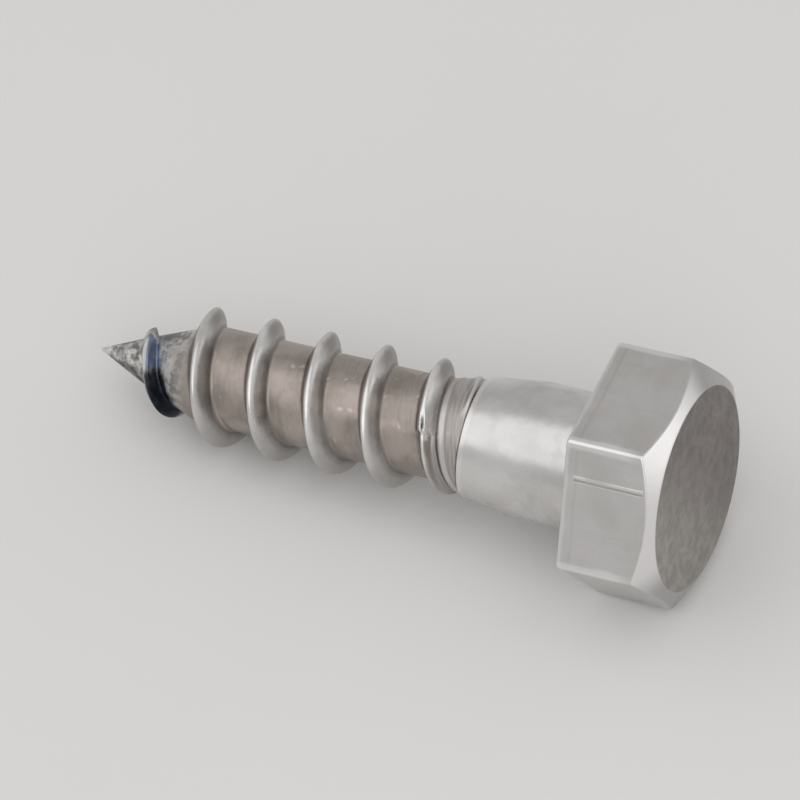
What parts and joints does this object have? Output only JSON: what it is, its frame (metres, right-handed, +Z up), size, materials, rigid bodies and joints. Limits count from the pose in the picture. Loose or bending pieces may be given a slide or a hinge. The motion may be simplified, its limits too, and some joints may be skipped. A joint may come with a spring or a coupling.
{
  "type": "coach screw",
  "caption": "Hexagon head wood screw with a plain shank, a coarse right-hand thread and a gimlet point, driven by a spanner to hold timber.",
  "frame": {"origin": "centre of the bounding box in plan, on the level surface that the screw lies on", "axes": "+X along the screw's length toward the head, the point toward -X; +Y across; +Z up"},
  "size_m": [0.0476, 0.0192, 0.0172],
  "materials": {
    "stainless_steel": "satin, bright on the crests and the crown's chamfer, with rolling marks in the thread"
  },
  "bodies": {
    "root": {"coach_screw": "stainless_steel"}
  },
  "joints": []
}
